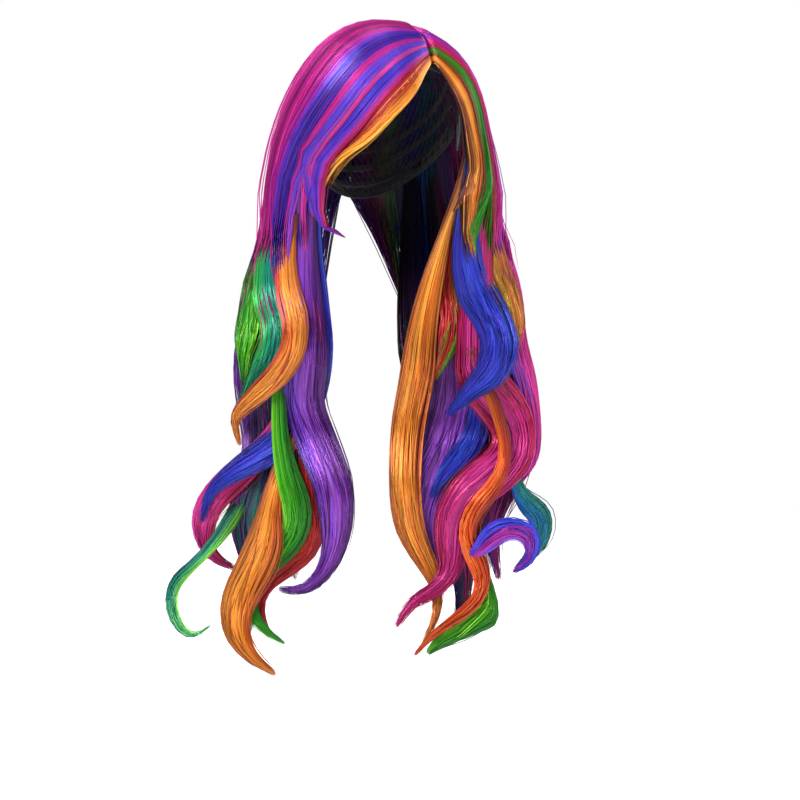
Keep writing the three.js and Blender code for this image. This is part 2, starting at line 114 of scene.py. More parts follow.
def piece_from(name, points, faces, material, attributes=None, maps=None):
    """A mesh object from points, from lists of faces with equal corner counts, and from one value per
    point for each attribute. maps holds each list's corner places for the baking map."""
    mesh = bpy.data.meshes.new(name)
    corners = np.concatenate([f.ravel() for f in faces]).astype(np.int32)
    totals = np.concatenate([np.full(len(f), f.shape[1]) for f in faces]).astype(np.int32)
    mesh.vertices.add(len(points))
    mesh.vertices.foreach_set("co", points.astype(np.float32).ravel())
    mesh.loops.add(len(corners))
    mesh.loops.foreach_set("vertex_index", corners)
    mesh.polygons.add(len(totals))
    starts = np.concatenate([[0], np.cumsum(totals)[:-1]]).astype(np.int32)
    mesh.polygons.foreach_set("loop_start", starts)
    mesh.polygons.foreach_set("loop_total", totals)
    mesh.polygons.foreach_set("use_smooth", np.ones(len(totals), bool))
    for label, values in (attributes or {}).items():
        attribute = mesh.attributes.new(label, "FLOAT", "POINT")
        attribute.data.foreach_set("value", values.astype(np.float32).ravel())
    if maps is not None:
        layer = mesh.uv_layers.new(name="OFBake")
        spots = np.concatenate([part.reshape(-1, 2) for part in maps])
        layer.data.foreach_set("uv", spots.astype(np.float32).ravel())
    mesh.update(calc_edges=True)
    mesh.validate()
    mesh.materials.append(material)
    piece = bpy.data.objects.new(name, mesh)
    bpy.context.scene.collection.objects.link(piece)
    return piece


def linear(colour):
    """A hex colour as linear red, green, blue and alpha 1."""
    parts = [int(colour[i:i + 2], 16) / 255 for i in (1, 3, 5)]
    return [c / 12.92 if c <= 0.04045 else ((c + 0.055) / 1.055) ** 2.4 for c in parts] + [1.0]


def new_material(name, roughness, metallic=0.0):
    """A material with a Principled shader, as (material, its nodes, its links, the shader)."""
    material = bpy.data.materials.new(name)
    material.use_nodes = True
    tree = material.node_tree
    shader = tree.nodes["Principled BSDF"]
    shader.inputs["Roughness"].default_value = roughness
    shader.inputs["Metallic"].default_value = metallic
    return material, tree.nodes, tree.links, shader


def new_group(name, inputs, outputs):
    """An empty shader node group with named sockets, as (group, its input node, its output node)."""
    group = bpy.data.node_groups.new(name, "ShaderNodeTree")
    for label, kind, value in inputs:
        group.interface.new_socket(label, in_out="INPUT", socket_type=kind).default_value = value
    for label, kind in outputs:
        group.interface.new_socket(label, in_out="OUTPUT", socket_type=kind)
    return group, group.nodes.new("NodeGroupInput"), group.nodes.new("NodeGroupOutput")


def placed_group(nodes, group, **values):
    """The group as a node, with its number inputs set."""
    node = nodes.new("ShaderNodeGroup")
    node.node_tree = group
    for label, value in values.items():
        node.inputs[label.replace("_", " ")].default_value = value
    return node


FLOAT, COLOUR = "NodeSocketFloat", "NodeSocketColor"

# Woven cloth: fine crossing ribs with a slow unevenness, used on tapes, tabs and net thread.
weave, weave_in, weave_out = new_group(
    "woven cloth",
    [("Cloth", COLOUR, (0.02, 0.02, 0.02, 1)), ("Rib Scale", FLOAT, 900.0), ("Unevenness", FLOAT, 0.35)],
    [("Color", COLOUR), ("Height", FLOAT)],
)


def build_weave():
    """Height is the product of two sine ribs on Object coordinates. Colour is the cloth with painted shade,
    darker in the valleys and lighter on the ribs' tops, and unevenly faded."""
    nodes, links = weave.nodes, weave.links
    place = nodes.new("ShaderNodeTexCoord")
    ribs = []
    for direction in ("Z", "DIAGONAL"):
        wave = nodes.new("ShaderNodeTexWave")
        wave.bands_direction = direction
        wave.inputs["Distortion"].default_value = 0.6
        wave.inputs["Detail"].default_value = 1.0
        links.new(place.outputs["Object"], wave.inputs["Vector"])
        links.new(weave_in.outputs["Rib Scale"], wave.inputs["Scale"])
        ribs.append(wave)
    product = nodes.new("ShaderNodeMath")
    product.operation = "MULTIPLY"
    links.new(ribs[0].outputs["Fac"], product.inputs[0])
    links.new(ribs[1].outputs["Fac"], product.inputs[1])
    fade = nodes.new("ShaderNodeTexNoise")
    fade.inputs["Scale"].default_value = 60.0
    fade.inputs["Detail"].default_value = 5.0
    links.new(place.outputs["Object"], fade.inputs["Vector"])
    # painted shade: the rib height darkens the cloth in the valleys and lightens it on the tops
    shade = nodes.new("ShaderNodeMapRange")
    shade.inputs["To Min"].default_value = 0.55
    shade.inputs["To Max"].default_value = 1.5
    links.new(product.outputs[0], shade.inputs["Value"])
    fade_and_painted_shade = nodes.new("ShaderNodeMath")
    fade_and_painted_shade.operation = "MULTIPLY_ADD"
    links.new(fade.outputs["Fac"], fade_and_painted_shade.inputs[0])
    links.new(weave_in.outputs["Unevenness"], fade_and_painted_shade.inputs[1])
    links.new(shade.outputs[0], fade_and_painted_shade.inputs[2])
    tint = nodes.new("ShaderNodeHueSaturation")
    links.new(weave_in.outputs["Cloth"], tint.inputs["Color"])
    links.new(fade_and_painted_shade.outputs[0], tint.inputs["Value"])
    links.new(tint.outputs[0], weave_out.inputs["Color"])
    links.new(product.outputs[0], weave_out.inputs["Height"])


build_weave()


def cloth_material(name, colour, rib_scale, roughness=0.85, sheen=0.25, depth=0.3):
    """Woven cloth of one colour."""
    material, nodes, links, shader = new_material(name, roughness)
    cloth = placed_group(nodes, weave, Cloth=linear(colour), Rib_Scale=rib_scale)
    bump = nodes.new("ShaderNodeBump")
    bump.inputs["Strength"].default_value = depth
    bump.inputs["Distance"].default_value = 0.0004
    links.new(cloth.outputs["Height"], bump.inputs["Height"])
    links.new(bump.outputs["Normal"], shader.inputs["Normal"])
    links.new(cloth.outputs["Color"], shader.inputs["Base Color"])
    shader.inputs["Sheen Weight"].default_value = sheen
    return material


net_thread = cloth_material("net thread", "#1d171c", 1400, roughness=0.7)
share = np.linspace(0, 1, THREAD_STEPS)
start = np.arange(NET_THREADS) * 360 / NET_THREADS
families = []
for lean in (1, -1):
    turn = start[:, None] + lean * (THREAD_SWEEP * share ** 0.8)[None]
    fall = NET_START + (rim_fall(turn) - NET_START - RIM_MARGIN) * share
    families.append(on_dome(turn, fall, CROSSING * lean))
net_paths = np.concatenate(families)
thread_points = tube_points(net_paths, np.full(net_paths.shape[:2], THREAD_RADIUS), 3).reshape(-1, 3)
net = piece_from("cap_net_threads", thread_points, tube_faces(len(net_paths), THREAD_STEPS, 3), net_thread)
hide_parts("cap_net")
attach(net, "cap")

# ---- Bands, ribbons, tapes and tabs ----
# Flat woven elastic and grosgrain, cut to length and sewn round the cap's edge and over the net. The ear
# tabs are the same cloth over a bendable strip, and the straps and slotted tapes are narrow elastic.
elastic = cloth_material("woven elastic", "#17141b", 1100)
grosgrain = cloth_material("ribbon", "#1c1820", 800, roughness=0.7)
for node in ("front_band", "nape_band", "strap_left", "strap_right", "loop_tape_left", "loop_tape_right",
             "ear_tab_left", "ear_tab_right"):
    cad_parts[node].data.materials[0] = elastic
for node in ("centre_ribbon", "side_ribbon_left", "side_ribbon_right"):
    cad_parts[node].data.materials[0] = grosgrain

# ---- Weft rows ----
# Machine-sewn tracks: the folded roots of the fibres under three lines of lockstitch, sewn round the back.
weft = cloth_material("weft track", "#2c1d2e", 500, roughness=0.6, depth=0.8)
for row in (1, 2, 3):
    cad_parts[f"weft_row_{row}"].data.materials[0] = weft

# ---- Parting patch ----
# A soft film the colour of a scalp, with the hair drawn through it in small holes.
scalp, nodes, links, shader = new_material("scalp film", 0.55)
pores = nodes.new("ShaderNodeTexVoronoi")
pores.inputs["Scale"].default_value = 700.0
place = nodes.new("ShaderNodeTexCoord")
links.new(place.outputs["Object"], pores.inputs["Vector"])
skin = nodes.new("ShaderNodeValToRGB")
skin.color_ramp.elements[0].position = 0.12
skin.color_ramp.elements[0].color = linear("#8a5a48")
skin.color_ramp.elements[1].position = 0.3
skin.color_ramp.elements[1].color = linear("#e6c2ab")
links.new(pores.outputs["Distance"], skin.inputs["Fac"])
links.new(skin.outputs["Color"], shader.inputs["Base Color"])
bump = nodes.new("ShaderNodeBump")
bump.inputs["Strength"].default_value = 0.3
bump.inputs["Distance"].default_value = 0.0003
links.new(pores.outputs["Distance"], bump.inputs["Height"])
links.new(bump.outputs["Normal"], shader.inputs["Normal"])
shader.inputs["Subsurface Weight"].default_value = 0.1
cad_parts["parting_patch"].data.materials[0] = scalp

# ---- Stays and hooks ----
# The stays are thin spring steel that holds each ear tab to the temple. The hooks are moulded nylon.


def mottled_material(name, scale, dark, light, roughness, metallic=0.0):
    """A material whose colour wanders between dark and light with a noise on Object coordinates."""
    material, nodes, links, shader = new_material(name, roughness, metallic)
    mottle = nodes.new("ShaderNodeTexNoise")
    mottle.inputs["Scale"].default_value = scale
    place = nodes.new("ShaderNodeTexCoord")
    links.new(place.outputs["Object"], mottle.inputs["Vector"])
    tone = nodes.new("ShaderNodeValToRGB")
    tone.color_ramp.elements[0].color = linear(dark)
    tone.color_ramp.elements[1].color = linear(light)
    links.new(mottle.outputs["Fac"], tone.inputs["Fac"])
    links.new(tone.outputs["Color"], shader.inputs["Base Color"])
    return material


steel = mottled_material("stay steel", 400.0, "#8f949b", "#c9cdd2", 0.32, metallic=1.0)
nylon = mottled_material("hook nylon", 900.0, "#0c0c10", "#1c1c22", 0.4)
for side in ("left", "right"):
    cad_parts[f"ear_stay_{side}"].data.materials[0] = steel
    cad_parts[f"strap_hook_{side}"].data.materials[0] = nylon

# ---- Hair: the bundles' shapes ----
# Every bundle is a sheaf of crimped synthetic fibre. Its CAD solid is a row of six-cornered rings, and its
# middle line, width, bow and thickness are read back from those rings.
NECK = np.array([0, 0.02, 0])
SAMPLES = 72  # places along a bundle at which its shape is kept
HALFWAY_BOW = 0.75  # the share of the bow at a ring's four middle corners, where u is a half


def smooth_path(points, count):
    """A Catmull-Rom curve through points, whose second axis runs along it, at count even shares."""
    last = points.shape[1] - 1
    t = np.linspace(0, last, count)
    i = np.minimum(t.astype(int), last - 1)
    f = (t - i).reshape(1, -1, *[1] * (points.ndim - 2))
    p0, p1 = points[:, np.maximum(i - 1, 0)], points[:, i]
    p2, p3 = points[:, i + 1], points[:, np.minimum(i + 2, last)]
    return 0.5 * (2 * p1 + (p2 - p0) * f + (2 * p0 - 5 * p1 + 4 * p2 - p3) * f ** 2
                  + (3 * p1 - p0 - 3 * p2 + p3) * f ** 3)


def rings_of(node, root_is_highest):
    """The solid's rings from root to tip, as rings × 6 corners × 3. The two fan hubs have seven neighbours
    and are corner 0, a ring is what lies one edge further from the root, and each corner's partner in
    the next ring is the one that it shares with the corner before it."""
    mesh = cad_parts[node].data
    loose = np.empty(len(mesh.vertices) * 3, np.float32)
    mesh.vertices.foreach_get("co", loose)
    mesh.calc_loop_triangles()
    triangles = np.empty(len(mesh.loop_triangles) * 3, np.int32)
    mesh.loop_triangles.foreach_get("vertices", triangles)
    places, number = np.unique(loose.reshape(-1, 3).astype(float).round(6), axis=0, return_inverse=True)
    triangles = number.ravel()[triangles].reshape(-1, 3)
    joined = np.zeros((len(places),) * 2, bool)
    for a, b in ((0, 1), (1, 2), (2, 0)):
        joined[triangles[:, a], triangles[:, b]] = joined[triangles[:, b], triangles[:, a]] = True
    neighbours = joined.sum(1)
    hubs = np.flatnonzero(neighbours == 7)
    ends = {hub: np.append(np.flatnonzero(joined[hub] & (neighbours < 6)), hub) for hub in hubs}

    def rank(hub):
        ring = places[ends[hub]]
        return ring[:, 2].mean() if root_is_highest else np.ptp(ring, axis=0).sum()

    hub = max(hubs, key=rank)
    ring = [hub, next(n for n in ends[hub] if neighbours[n] == 4)]
    while len(ring) < 6:
        ring.append(next(n for n in ends[hub] if joined[n, ring[-1]] and n not in ring))
    best = None
    for before in (-1, 1):
        chain, seen, length = [ring], set(ring), 0.0
        while True:
            now = chain[-1]
            shared = [joined[now[k]] & joined[now[(k + before) % 6]] for k in range(6)]
            nexts = [[n for n in np.flatnonzero(s) if n not in seen] for s in shared]
            if not all(nexts):
                break
            chain.append([n[0] for n in nexts])
            seen.update(chain[-1])
            length += np.linalg.norm(places[chain[-1]] - places[now], axis=1).sum()
        if best is None or length < best[0]:
            best = (length, chain)
    return places[np.array(best[1])]


def bundle_of(node, on_cap):
    """Samples × (middle, half width, bow, half thickness). The half thickness points away from the neck."""
    corners = smooth_path(rings_of(node, on_cap).transpose(1, 0, 2), SAMPLES)
    middle = (corners[0] + corners[3]) / 2
    width = (corners[3] - corners[0]) / 2
    outer, inner = (corners[1] + corners[2]) / 2, (corners[4] + corners[5]) / 2
    bow = ((outer + inner) / 2 - middle) / HALFWAY_BOW
    thick = (outer - inner) / 2
    if np.sum(thick * (middle - NECK) * [1, 1, float(on_cap)]) < 0:
        thick = -thick
    return np.stack([middle, width, bow, thick], 1)


def lay(bundle, along, u, v):
    """A fibre's place in a bundle: middle + u × half width + (1 − u²) × bow + v × √(1 − 0.8 u²) × half
    thickness, read at a share of the bundle's length."""
    x = np.clip(along, 0, 1) * (SAMPLES - 1)
    i = np.minimum(x.astype(int), SAMPLES - 2)
    f = (x - i)[..., None, None]
    middle, width, bow, thick = np.moveaxis(bundle[i] * (1 - f) + bundle[i + 1] * f, -2, 0)
    u, v = u[..., None], v[..., None]
    return middle + u * width + (1 - u * u) * bow + v * np.sqrt(np.maximum(1 - 0.8 * u * u, 0.05)) * thick


RIGHT_SHEET = ["fringe_edge", "fringe_inner", "fringe_middle", "fringe_outer", "side_hair_right",
               "back_hair_right_outer", "back_hair_right_inner"]
LEFT_SHEET = ["face_hair_left", "temple_hair_left", "side_hair_left", "back_hair_left_outer",
              "back_hair_left_inner"]
sheets = {"right": [bundle_of(node, True) for node in RIGHT_SHEET],
          "left": [bundle_of(node, True) for node in LEFT_SHEET]}


def lay_sheet(side, place, along, v):
    """A place in a whole side's hair, whose strips follow one another. place counts strips from the face,
    and the rest is as in a bundle, but the thickness stays whole to the strip's edges."""
    strips = np.stack(sheets[side])
    which = np.clip(place.astype(int), 0, len(strips) - 1)
    u = np.clip(2 * (place - which) - 1, -1, 1)
    x = np.clip(along, 0, 1) * (SAMPLES - 1)
    i = np.minimum(x.astype(int), SAMPLES - 2)
    f = (x - i)[..., None, None]
    middle, width, bow, thick = np.moveaxis(strips[which, i] * (1 - f) + strips[which, i + 1] * f, -2, 0)
    u, v = u[..., None], v[..., None]
    return middle + u * width + (1 - u * u) * bow + v * thick


# ---- Hair: fibres and dyes ----
# Heat-set polyester fibre, a little flattened and glossy. Each bundle is dyed in bands across its width,
# and neighbouring fibres stray over the bands' edges.
FIBRE_SIDES = 3
CORE_CORNERS = 36
CORE_SHARE = 0.1  # of the baking map's width, at its left
FEWEST_STEPS, MOST_STEPS = 17, 40  # rings along a fibre
CORE_SPACING = 0.009
DYES = {
    "magenta": "#c0147e", "rose": "#e04aa8", "violet": "#4a1fa8", "iris": "#302ab8",
    "purple": "#661a88", "lilac": "#9c4cc8", "plum": "#360c4c", "blue": "#2240d0", "navy": "#141274",
    "teal": "#0c8c78", "sea": "#08504e", "green": "#2a9c14", "lime": "#78c824", "forest": "#144c14",
    "orange": "#e07c1c", "amber": "#f0a440", "rust": "#8c2c10", "red": "#cc1a12", "crimson": "#96102c",
    "umber": "#22080c",
}

fibre_tint_and_shade, tint_in, tint_out = new_group(
    "fibre tint and shade",
    [("Dye", COLOUR, (1, 1, 1, 1)), ("Fibre", FLOAT, 0.5), ("Along", FLOAT, 0.5), ("Depth", FLOAT, 0.0),
     ("Streaks", FLOAT, 0.5)],
    [("Color", COLOUR), ("Roughness", FLOAT)],
)


def build_fibre_tint():
    """Each fibre's dye takes up a little more or less colour and drifts along the fibre. Painted shade
    makes the colour darker and the fibre rougher where the Depth input is high."""
    nodes, links = fibre_tint_and_shade.nodes, fibre_tint_and_shade.links
    spot = nodes.new("ShaderNodeCombineXYZ")
    spread = nodes.new("ShaderNodeMath")
    spread.operation = "MULTIPLY"
    spread.inputs[1].default_value = 90.0
    links.new(tint_in.outputs["Fibre"], spread.inputs[0])
    links.new(spread.outputs[0], spot.inputs["X"])
    slow = nodes.new("ShaderNodeMath")
    slow.operation = "MULTIPLY"
    slow.inputs[1].default_value = 3.0
    links.new(tint_in.outputs["Along"], slow.inputs[0])
    links.new(slow.outputs[0], spot.inputs["Y"])
    noise = nodes.new("ShaderNodeTexNoise")
    noise.inputs["Scale"].default_value = 1.0
    noise.inputs["Detail"].default_value = 2.0
    links.new(spot.outputs[0], noise.inputs["Vector"])
    uneven = nodes.new("ShaderNodeMath")
    uneven.operation = "SUBTRACT"
    uneven.inputs[1].default_value = 0.5
    links.new(noise.outputs["Fac"], uneven.inputs[0])
    strength = nodes.new("ShaderNodeMath")
    strength.operation = "MULTIPLY_ADD"
    strength.inputs[2].default_value = 1.0
    links.new(uneven.outputs[0], strength.inputs[0])
    links.new(tint_in.outputs["Streaks"], strength.inputs[1])
    # painted shade: Depth 0 keeps the colour, and Depth 1 or more leaves 0.3 of it
    shade = nodes.new("ShaderNodeMapRange")
    shade.inputs["To Min"].default_value = 1.0
    shade.inputs["To Max"].default_value = 0.3
    links.new(tint_in.outputs["Depth"], shade.inputs["Value"])
    value = nodes.new("ShaderNodeMath")
    value.operation = "MULTIPLY"
    links.new(strength.outputs[0], value.inputs[0])
    links.new(shade.outputs[0], value.inputs[1])
    hue = nodes.new("ShaderNodeMapRange")
    hue.inputs["To Min"].default_value = 0.485
    hue.inputs["To Max"].default_value = 0.515
    links.new(tint_in.outputs["Fibre"], hue.inputs["Value"])
    colour = nodes.new("ShaderNodeHueSaturation")
    links.new(hue.outputs[0], colour.inputs["Hue"])
    links.new(value.outputs[0], colour.inputs["Value"])
    links.new(tint_in.outputs["Dye"], colour.inputs["Color"])
    links.new(colour.outputs[0], tint_out.inputs["Color"])
    rough = nodes.new("ShaderNodeMapRange")
    rough.inputs["To Min"].default_value = 0.22
    rough.inputs["To Max"].default_value = 0.42
    links.new(noise.outputs["Fac"], rough.inputs["Value"])
    duller = nodes.new("ShaderNodeMath")
    duller.operation = "MULTIPLY_ADD"
    duller.inputs[1].default_value = 0.3
    links.new(tint_in.outputs["Depth"], duller.inputs[0])
    links.new(rough.outputs[0], duller.inputs[2])
    links.new(duller.outputs[0], tint_out.inputs["Roughness"])


build_fibre_tint()


def fibre_material(name, bands, streaks=0.9):
    """Dyed fibre. bands are (share across the bundle, dye) pairs in order from the bundle's first edge."""
    material, nodes, links, shader = new_material(name, 0.35)
    across, fibre, along, depth = [nodes.new("ShaderNodeAttribute") for _ in range(4)]
    for node, label in ((across, "across"), (fibre, "fibre"), (along, "along"), (depth, "depth")):
        node.attribute_name = label
    ramp = nodes.new("ShaderNodeValToRGB")
    ramp.color_ramp.interpolation = "B_SPLINE" if len(bands) > 2 else "EASE"
    elements = ramp.color_ramp.elements
    while len(elements) < len(bands):
        elements.new(0.5)
    for element, (position, _) in zip(elements, bands):
        element.position = position
    for element, (_, dye) in zip(elements, bands):
        element.color = linear(DYES[dye])
    links.new(across.outputs["Fac"], ramp.inputs["Fac"])
    tint = placed_group(nodes, fibre_tint_and_shade, Streaks=streaks)
    links.new(ramp.outputs["Color"], tint.inputs["Dye"])
    links.new(fibre.outputs["Fac"], tint.inputs["Fibre"])
    links.new(along.outputs["Fac"], tint.inputs["Along"])
    # the depth attribute carries painted shade
    links.new(depth.outputs["Fac"], tint.inputs["Depth"])
    links.new(tint.outputs["Color"], shader.inputs["Base Color"])
    links.new(tint.outputs["Roughness"], shader.inputs["Roughness"])
    shader.inputs["Metallic"].default_value = 0.38
    shader.inputs["Specular IOR Level"].default_value = 0.5
    return material


def solid_volume(points, quads):
    """Six times the signed volume under the quads, as a sum of triple products."""
    a, b, c, d = (points[quads[:, k]] for k in range(4))
    return float(np.sum(a * np.cross(b, c)) + np.sum(a * np.cross(c, d)))


def sheaf(name, dye, route, count, radius, spacing, rng, reach=1.04, front=0.7, inner_side_shade=0.35, root_shade=0.0):
    """count closed fibres about one closed, grooved core. route(u, v, fibre, rng) gives the places of
    fibres that keep their u and v. Fibres get one ring for each spacing of length. reach is how far they
    go past the bundle's edges, and front is the share on its outside. The last two arguments set painted
    shade: how dark the inner side is, and how dark the first quarter is."""
    sides, corners, left = FIBRE_SIDES, CORE_CORNERS, CORE_SHARE
    u = rng.uniform(-reach, reach, count)
    v = np.where(rng.random(count) < front, 1, -1) * rng.uniform(0.8, 1.12, count)
    fibre = rng.random(count)
    way = route(u, v, fibre, rng)
    length = np.linalg.norm(np.diff(way, axis=1), axis=-1).sum(1).mean()
    steps = int(np.clip(length / spacing, FEWEST_STEPS, MOST_STEPS))
    paths = smooth_path(way, steps)
    share = np.linspace(0, 1, steps)
    taper = np.clip(share * 12, 0.35, 1) * np.clip((1 - share) * 5 + 0.2, 0, 1)
    radii = radius * rng.uniform(0.7, 1.3, count)[:, None] * taper[None]
    points = tube_points(paths, radii, sides, 0.8)
    walls, ends = tube_faces(count, steps, sides)
    shape = (count, steps, sides)
    # A few fibres take any band's dye, and the others keep near their own place's.
    mixed = np.where(rng.random(count) < 0.08, rng.random(count), (u + rng.normal(0, 0.1, count)) / 2 + 0.5)
    # Painted shade, carried in the depth attribute: fibres on the inner side are darker, fibres nearer the
    # middle of the bundle a little darker still, and every fibre is darker over its first quarter.
    inward_shade = np.where(v < 0, inner_side_shade, 0.0) + np.where(np.abs(v) < 0.9, 0.15, 0.0)
    shaded = inward_shade[:, None, None] + root_shade * np.clip(1.2 - share * 5, 0, 1)[None, :, None]
    values = {"across": mixed[:, None, None], "fibre": fibre[:, None, None], "along": share[None, :, None],
              "depth": shaded}
    # Each fibre has its own narrow upright strip of the baking map, right of the core's.
    strip = (1 - left) / count
    i, j, k = np.meshgrid(np.arange(count), np.arange(steps - 1), np.arange(sides), indexing="ij")
    x0, x1 = left + strip * (i + 0.9 * k / sides), left + strip * (i + 0.9 * (k + 1) / sides)
    y0, y1 = j / (steps - 1), (j + 1) / (steps - 1)
    wall_map = np.stack([np.stack([x0, y0], -1), np.stack([x1, y0], -1), np.stack([x1, y1], -1),
                         np.stack([x0, y1], -1)], -2)
    i, k = np.meshgrid(np.arange(count), np.arange(sides), indexing="ij")
    x = left + strip * (i + 0.9 * k / sides)
    sliver = 0.001 * (k % 2)
    end_map = np.concatenate([np.stack([x, sliver], -1), np.stack([x, 1 - sliver], -1)])
    # The core: a ring of even angles at each share, with shallow grooves along it.
    rings = int(np.clip(length / CORE_SPACING, 16, 64))
    angle = -2 * np.pi * np.arange(corners) / corners
    groove = 1 + 0.06 * np.sin(angle * 9 + 1.3) + 0.05 * np.sin(angle * 14)
    cu, cv = np.cos(angle) * 0.9, np.sin(angle) * groove * 0.9
    core = smooth_path(route(cu, cv, np.full(corners, 0.5), None), rings).transpose(1, 0, 2)
    middle = core.mean(1, keepdims=True)
    pinch = np.clip(np.minimum(np.linspace(0.25, 12, rings), np.linspace(7, 0.1, rings)), 0, 1)
    core = (middle + (core - middle) * pinch[:, None, None]).reshape(-1, 3)
    first = count * steps * sides
    core_walls, core_ends = tube_faces(1, rings, corners, first)
    # Painted shade: the core's depth is 1 on its inner side and 0.62 on its outside, so it is darker than the
    # fibres and shows as shade in the gaps between them.
    core_values = {"across": cu[None] / 1.8 + 0.5, "fibre": np.abs((angle / np.pi) % 2 - 1)[None],
                   "along": np.linspace(0, 1, rings)[:, None], "depth": np.where(cv < 0, 1.0, 0.62)[None]}
    attributes = {
        label: np.concatenate([np.broadcast_to(values[label], shape).reshape(-1),
                               np.broadcast_to(core_values[label], (rings, corners)).reshape(-1)])
        for label in values
    }
    j, k = np.meshgrid(np.arange(rings - 1), np.arange(corners), indexing="ij")
    x0, x1 = 0.09 * k / corners, 0.09 * (k + 1) / corners
    y0, y1 = j / (rings - 1), (j + 1) / (rings - 1)
    core_map = np.stack([np.stack([x0, y0], -1), np.stack([x1, y0], -1), np.stack([x1, y1], -1),
                         np.stack([x0, y1], -1)], -2)
    round_map = np.stack([0.095 + 0.002 * np.cos(angle), 0.002 * np.sin(angle)], -1)
    core_end_map = np.stack([round_map + [0, 0.1], round_map + [0, 0.2]])
    if solid_volume(core, core_walls - first) < 0:
        core_walls, core_ends, core_map = core_walls[:, ::-1], core_ends[:, ::-1], core_map[:, :, ::-1]
    all_points = np.concatenate([points.reshape(-1, 3), core])
    return piece_from(name, all_points, [walls, ends, core_walls, core_ends], dye, attributes,
                      [wall_map, end_map, core_map, core_end_map])


LOWEST_CAP_ROOT = -0.14  # a lock that starts above this height comes from under the cap's hair
lock_bundles = {node: bundle_of(node, False) for node in sorted(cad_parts) if node.startswith("lock_")}
rooted = {
    side: [bundle for node, bundle in lock_bundles.items()
           if node.startswith(f"lock_{side}") and bundle[0, 0, 2] > LOWEST_CAP_ROOT]
    for side in ("right", "left")
}


def nearest_on(bundles, shares, places):
    """For each place, the bundle, share and u whose outside lies nearest, by trying a grid of them."""
    u = np.linspace(-1, 1, 9)
    grid_share, grid_u = (g.ravel() for g in np.meshgrid(shares, u, indexing="ij"))
    spots = np.stack([lay(b, grid_share, grid_u, 0.7 + 0 * grid_u) for b in bundles])
    apart = np.linalg.norm(places[:, None, None] - spots[None], axis=-1).reshape(len(places), -1)
    best = apart.argmin(1)
    return best // len(grid_u), grid_share[best % len(grid_u)], grid_u[best % len(grid_u)]


# ---- Hair on the cap: fringe, sides and back ----
# Straight fibre that falls from the parting over the cap and covers it. Each strip is one weft's fibre,
# combed flat. Below the jaw it thins out over the waved lengths, and the fringe ends in a free point.
TURN = math.radians(25)
FACING = np.array([[math.cos(TURN), -math.sin(TURN), 0], [math.sin(TURN), math.cos(TURN), 0], [0, 0, 1]])
FRINGE_BEND = np.array([-0.066, 0.0, -0.104]) @ FACING  # where the fringe gathers before its point
FRINGE_TIP = np.array([-0.040, 0.0, -0.124]) @ FACING
SWEPT_SPREAD = [0.5, 0.5, 0.6]  # how much of the fringe's spread is left where it gathers
POINT_SPREAD = 0.14  # and how much is left at its point
POINT_DEPTH = 0.15  # and of its spread from front to back
ROOT_SINK = 0.95  # a root's distance from the head's middle, as a share of the strip's
ROOT_OVERLAP = 0.004  # how far a root reaches back over the parting
CORE_TUCK = 0.012  # how far the core's end turns in towards the neck
TAIL_SHARES = np.array([[0.05, 0.1, 0.16, 0.22]])  # the tail's four places, each times its own length
LONG_TAIL, SHORT_TAIL = 3.0, 1.9  # for the back's strips, and for the others
STRAY_SHARE = 0.04
CAP_FIBRE, CAP_SPACING = 0.00052, 0.0135  # radius, and length from ring to ring


